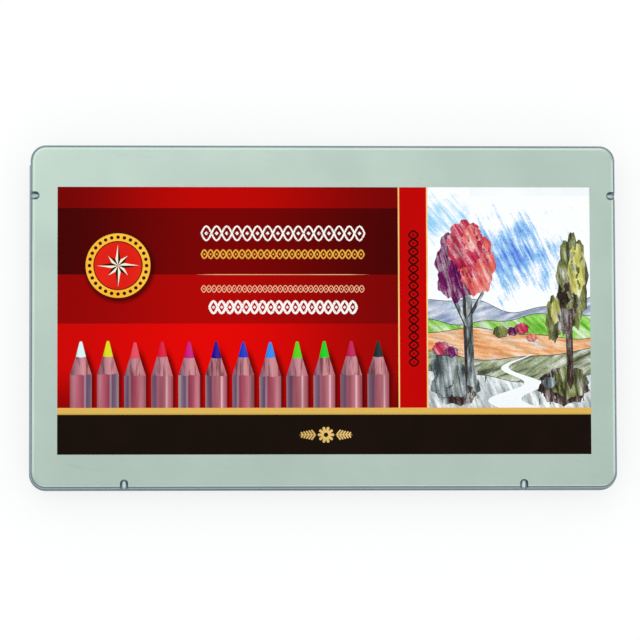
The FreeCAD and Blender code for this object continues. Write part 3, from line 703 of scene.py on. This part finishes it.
def make_picture_inks():
    """The coloured pencils of the picture."""
    inks["paper"] = mixed_ink("paper", srgb(238, 242, 242), srgb(246, 248, 247))
    # Ink, its deep and its light colour, the strokes' angle, where paper shows, and its dark strokes.
    pencils = (("far_hill", (132, 146, 180), (184, 194, 212), -18, 0.7, 0.2),
               ("bright_hill", (84, 176, 36), (158, 214, 100), 38, 0.68, 0.25),
               ("ochre", (224, 136, 74), (238, 184, 132), 8, 0.72, 0.25),
               ("meadow", (96, 106, 76), (162, 172, 136), -32, 0.7, 0.7),
               ("snow", (152, 164, 166), (208, 217, 217), 62, 0.6, 0.4),
               ("stone", (62, 72, 76), (138, 150, 150), 82, 0.76, 0.85),
               ("olive", (64, 72, 42), (134, 140, 80), 76, 0.78, 0.85),
               ("yellow_leaf", (168, 164, 62), (220, 216, 122), 70, 0.7, 0.45),
               ("bark", (36, 28, 26), (82, 64, 56), 86, 0.86, 0.5),
               ("salmon", (198, 58, 68), (226, 118, 106), 66, 0.78, 0.3),
               ("crimson_leaf", (164, 20, 62), (198, 62, 90), 58, 0.82, 0.4),
               ("plum", (58, 10, 58), (120, 28, 94), 74, 0.86, 0.45))
    for ink, deep, light, turn, paper, dark in pencils:
        inks[ink] = hatched_ink(ink, srgb(*deep), srgb(*light), turn, paper, dark)
    inks["sky"] = hatched_ink("sky", srgb(84, 122, 216), srgb(148, 198, 236), 64, 0.62,
                              middle=(*in_picture(26, 53), 27, 19))
    inks["haze"] = hatched_ink("haze", srgb(140, 202, 238), srgb(196, 228, 244), 50, 0.6,
                               middle=(*in_picture(52, 66), 16, 12))
    inks["line"] = mixed_ink("line", srgb(36, 32, 36), srgb(74, 66, 66), 400)


def ridge(height, *waves):
    """The skyline of a hill across the picture: waves are (height, count across, start)."""
    steps = 48
    line = []
    for k in range(steps + 1):
        share = k / steps
        rise = sum(size * math.sin(math.tau * (count * share + start)) for size, count, start in waves)
        line.append((PICTURE_LEFT + share * PICTURE_WIDTH, GOLD_BACK + height + rise))
    return line


def paint_hill(ink, skyline):
    """A hill down to the picture's foot, with a thin line along its top."""
    foot = [(PICTURE_LEFT, GOLD_BACK), (PANEL_RIGHT, GOLD_BACK)]
    paint(PICTURE, ink, foot + skyline[::-1])
    below = [(x, y - SKYLINE_WIDTH) for x, y in skyline]
    paint(PICTURE, "line", below + skyline[::-1])


def paint_blobs(*rows):
    """Lobed shapes: ink, place across and up, half width and height, and number of lobes."""
    for ink, across, up, wide, high, lobes in rows:
        paint(PICTURE, ink, blob(*in_picture(across, up), wide, high, lobes, across))


def paint_land():
    """The sky, the hills and a path that winds up to them."""
    paint(PICTURE, "paper", rectangle(PICTURE_LEFT, GOLD_BACK, PANEL_RIGHT, PANEL_BACK))
    paint(PICTURE, "sky", rectangle(*in_picture(45, 33), *in_picture(0, 74)))
    paint(PICTURE, "haze", rectangle(PICTURE_LEFT, GOLD_BACK + 53, in_picture(42, 0)[0], PANEL_BACK))
    hills = (("far_hill", 36, (2.2, 1.1, 0.1), (0.9, 2.7, 0.4)),
             ("bright_hill", 31, (1.6, 0.9, 0.55), (0.6, 3.1, 0.2)),
             ("ochre", 26, (1.6, 0.8, 0.05), (0.5, 2.3, 0.6)),
             ("meadow", 19, (2.0, 0.7, 0.45), (0.5, 2.0, 0.1)),
             ("snow", 11, (1.6, 0.9, 0.2), (0.5, 2.6, 0.3)))
    for ink, height, *waves in hills:
        paint_hill(ink, ridge(height, *waves))
    # The path swings from side to side and narrows as it climbs.
    left, right = [], []
    steps = 30
    for k in range(steps + 1):
        across = 25 + 5 * math.sin(math.pi * k / 9)
        half = 7.0 * (1 - k / (steps + 2)) ** 1.6 + 0.3
        up = 0.62 * k
        left.append(in_picture(across - half, up))
        right.append(in_picture(across + half, up))
    paint(PICTURE, "paper", left + right[::-1])


def paint_trees():
    """A thicket, a rocky bank, two trees, and bushes and stones between them."""
    paint_blobs(("bark", 9.5, 7.4, 8.6, 6.4, 9), ("olive", 7.4, 8.8, 6.4, 5.4, 7),
                ("stone", 47.2, 8.4, 8.4, 7.4, 7), ("stone", 51.0, 15.0, 4.8, 6.0, 6),
                ("bark", 45.6, 4.6, 5.4, 3.8, 8))
    # A tall dark tree with olive leaves on the right: its crown, then its trunk and branches.
    paint_blobs(("olive", 6.2, 44, 5.4, 16.5, 9), ("bark", 8.8, 35, 3.2, 9.5, 11),
                ("yellow_leaf", 4.6, 48, 3.0, 9.0, 7), ("olive", 12.8, 31, 2.8, 8.0, 8),
                ("yellow_leaf", 12.2, 33.5, 1.5, 4.2, 6))
    branches = (((7.0, 6), (7.6, 33), 2.4), ((7.4, 24), (11.5, 33), 1.0), ((7.3, 28), (3.8, 38), 0.9))
    for start, end, width in branches:
        paint(PICTURE, "bark", stroke(in_picture(*start), in_picture(*end), width))
    # A broad red tree on the left: its trunk and branches with a dark side, then its crown.
    branches = (((42.0, 7), (43.2, 42), 3.4), ((43.0, 28), (49.5, 42), 1.4), ((42.6, 31), (37.0, 41), 1.2))
    for start, end, width in branches:
        paint(PICTURE, "stone", stroke(in_picture(*start), in_picture(*end), width))
        shaded_start = in_picture(start[0] + width / 2.6, start[1])
        shaded_end = in_picture(end[0] + width / 4, end[1])
        paint(PICTURE, "line", stroke(shaded_start, shaded_end, 0.3 * width))
    paint_blobs(("plum", 46.2, 50, 7.6, 12.5, 8), ("salmon", 39.4, 50, 6.2, 10.6, 7),
                ("crimson_leaf", 43.6, 57, 6.4, 8.4, 9), ("salmon", 41.2, 59, 3.4, 4.6, 6),
                ("plum", 49.2, 44, 4.2, 5.4, 6))
    bushes = (("crimson_leaf", 24, 27.5, 2.3), ("plum", 27.2, 26.6, 1.8), ("olive", 31.4, 26.4, 2.4),
              ("salmon", 20.6, 24.4, 1.7), ("crimson_leaf", 52, 20.5, 2.9), ("plum", 48.6, 19.4, 2.2),
              ("stone", 14.6, 8.6, 2.4), ("stone", 46, 6.0, 3.1), ("stone", 50.6, 5.2, 2.2))
    for ink, across, up, size in bushes:
        paint_blobs(("line", across, up, 1.08 * size, 0.86 * size, 6),
                    (ink, across, up + 0.05 * size, 1.02 * size, 0.8 * size, 6))


def paint_strokes():
    """Deeper leaves dabbed into both crowns, and grass along the foot on either side of the path."""
    hand = random.Random(12)
    crowns = (("crimson_leaf", 41.5, 52, 6.5, 9.0, 45), ("olive", 6.4, 43, 4.0, 13.0, 40))
    for ink, across, up, wide, high, count in crowns:
        for _ in range(count):
            angle = hand.uniform(0, math.tau)
            share = math.sqrt(hand.random())
            x, y = in_picture(across + wide * share * math.cos(angle), up + high * share * math.sin(angle))
            lean = hand.uniform(-0.6, 0.6)
            size = hand.uniform(1.4, 2.8)
            paint(PICTURE, ink, stroke((x, y), (x + size * lean, y + size), DAB_WIDTH))
    blades = 60
    path_across = 27
    path_half = 8
    for _ in range(blades):
        across = hand.uniform(1.5, PICTURE_WIDTH - 1.5)
        up = hand.uniform(0.6, 12)
        tall = hand.uniform(1.0, 2.6)
        if abs(across - path_across) > path_half:
            ink = hand.choice(("olive", "line", "stone"))
            tip = in_picture(across + hand.uniform(-0.6, 0.6), up + tall)
            paint(PICTURE, ink, stroke(in_picture(across, up), tip, BLADE_WIDTH))


def paint_picture():
    """A plain autumn landscape in coloured pencil."""
    make_picture_inks()
    paint_land()
    paint_trees()
    paint_strokes()


def flatten():
    """Cut the painted shapes into areas that don't overlap: their corners, and each area's top shape."""
    points, outlines = [], []
    for _, _, outline in design:
        outlines.append(list(range(len(points), len(points) + len(outline))))
        points += [Vector(point) for point in outline]
    inside_only = 1
    cut = delaunay_2d_cdt(points, [], outlines, inside_only, SAME_PLACE)
    corners, _, areas, _, _, covers = cut
    return corners, [(area, max(cover)) for area, cover in zip(areas, covers) if cover]


def lay_ink():
    """Make each printed piece from its own areas, as a thin closed film on the lid."""
    corners, areas = flatten()
    height = (lid_high.z + INK_RISE) * MM
    for piece in dict.fromkeys(piece for piece, _, _ in design):
        own = [(area, design[top][1]) for area, top in areas if design[top][0] == piece]
        used = sorted({corner for area, _ in own for corner in area})
        place = {corner: index for index, corner in enumerate(used)}
        names = list(dict.fromkeys(ink for _, ink in own))
        mesh = bpy.data.meshes.new(piece)
        mesh.from_pydata([(corners[c].x * MM, corners[c].y * MM, height) for c in used], [],
                         [[place[c] for c in area] for area, _ in own])
        for name in names:
            mesh.materials.append(inks[name])
        mesh.polygons.foreach_set("material_index", [names.index(ink) for _, ink in own])
        film = bpy.data.objects.new(piece, mesh)
        bpy.context.scene.collection.objects.link(film)
        thickness = film.modifiers.new("thickness", "SOLIDIFY")
        thickness.thickness = INK_DEPTH * MM
        thickness.offset = -1
        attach(film, "lid")


def finish_cad_nodes():
    """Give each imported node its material."""
    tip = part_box("pencil_core_01")[1].x
    cedar = lacquered_cedar(tip - CONE_LENGTH * MM)
    # Each tin's last colour is painted shade for its steep faces: a darker blue in the lid's dents, the
    # wall shade on the base.
    finishes = {
        "lid_shell": tinplate("lid_tin", srgb(172, 190, 180), srgb(179, 197, 186), DENT_SHADE, LID_HALF),
        "base_shell": tinplate("base_tin", srgb(168, 185, 178), srgb(175, 192, 184), WALL_SHADE, BASE_HALF),
        "hinge_wire": drawn_steel(),
        "pencil_tray": formed_plastic(),
    }
    for number, colour in enumerate(LEADS, start=1):
        finishes[f"pencil_barrel_{number:02d}"] = cedar
        finishes[f"pencil_core_{number:02d}"] = pastel(f"pastel_{number:02d}", colour)
    for name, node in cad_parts.items():
        node.data.materials.clear()
        node.data.materials.append(finishes[name])


def make_floor():
    """A wide pale floor: mostly plain white where it is seen, and the rest of it takes the tin's shadow."""
    mesh = bpy.data.meshes.new("floor")
    outline = rectangle(-FLOOR_HALF, -FLOOR_HALF, FLOOR_HALF, FLOOR_HALF)
    mesh.from_pydata([(x, y, 0) for x, y in outline], [], [(0, 1, 2, 3)])
    floor = bpy.data.objects.new("floor", mesh)
    bpy.context.scene.collection.objects.link(floor)
    paper = Finish("floor_paper", Roughness=0.9, Specular_IOR_Level=0.0)
    paper.use("Base Color", paper.ramp(paper.noise(3), (0.3, grey(0.94)), (0.7, grey(0.96))))
    ray = paper.add("ShaderNodeLightPath").outputs
    mirrored = paper.math("MAXIMUM", ray["Is Glossy Ray"], ray["Is Transmission Ray"])
    seen = paper.math("MAXIMUM", ray["Is Camera Ray"], mirrored)
    white = paper.add("ShaderNodeEmission", {"Color": grey(1.0), "Strength": 1.0})
    mixed = paper.add("ShaderNodeMixShader", {
        0: paper.math("MULTIPLY", seen, FLOOR_WHITE),
        1: paper.shader.outputs["BSDF"],
        2: white.outputs["Emission"],
    })
    surface = paper.tree.nodes["Material Output"].inputs["Surface"]
    paper.tree.links.new(mixed.outputs["Shader"], surface)
    mesh.materials.append(paper.material)


def make_world():
    """Soft light from above that falls off to a dark cool grey near the horizon."""
    world = bpy.data.worlds.new("studio")
    world.use_nodes = True
    bpy.context.scene.world = world
    tree = world.node_tree
    sky = tree.nodes["Background"]
    place = tree.nodes.new("ShaderNodeTexCoord")
    height = tree.nodes.new("ShaderNodeSeparateXYZ")
    ramp = tree.nodes.new("ShaderNodeValToRGB")
    set_stops(ramp.color_ramp, ((0.0, (0.05, 0.07, 0.12, 1)), (0.16, (0.1, 0.13, 0.2, 1)),
                                (0.36, (0.82, 0.85, 0.89, 1)), (1.0, grey(0.985))))
    for source, target in ((place.outputs["Generated"], height.inputs["Vector"]),
                           (height.outputs["Z"], ramp.inputs["Fac"]),
                           (ramp.outputs["Color"], sky.inputs["Color"])):
        tree.links.new(source, target)


def make_softbox(name, place, size, energy):
    """A weak rectangular lamp that faces the tin."""
    lamp = bpy.data.lights.new(name, "AREA")
    lamp.shape = "RECTANGLE"
    lamp.size, lamp.size_y = size
    lamp.energy = energy
    softbox = bpy.data.objects.new(name, lamp)
    softbox.location = place
    softbox.rotation_euler = (-Vector(place)).to_track_quat("-Z", "Y").to_euler()
    bpy.context.scene.collection.objects.link(softbox)


def make_camera():
    """A long lens that frames the photo's view of the lid."""
    camera = bpy.data.objects.new("camera", bpy.data.cameras.new("camera"))
    camera.data.lens = LENS
    camera.data.sensor_width = SENSOR
    camera.rotation_euler = [math.radians(angle) for angle in CAMERA_ANGLES]
    backwards = camera.rotation_euler.to_matrix() @ Vector((0, 0, 1))
    camera.location = (VIEW_CENTRE + backwards * VIEW_WIDTH * LENS / SENSOR) * MM
    camera.data.clip_start = 0.01
    bpy.context.scene.collection.objects.link(camera)
    bpy.context.scene.camera = camera


finish_cad_nodes()
paint_field()
paint_pencils()
paint_braids()
paint_emblem()
paint_ornament()
paint_picture()
lay_ink()
make_floor()
make_world()
for softbox in SOFTBOXES:
    make_softbox(*softbox)
make_camera()
bpy.context.scene.view_settings.view_transform = "Standard"
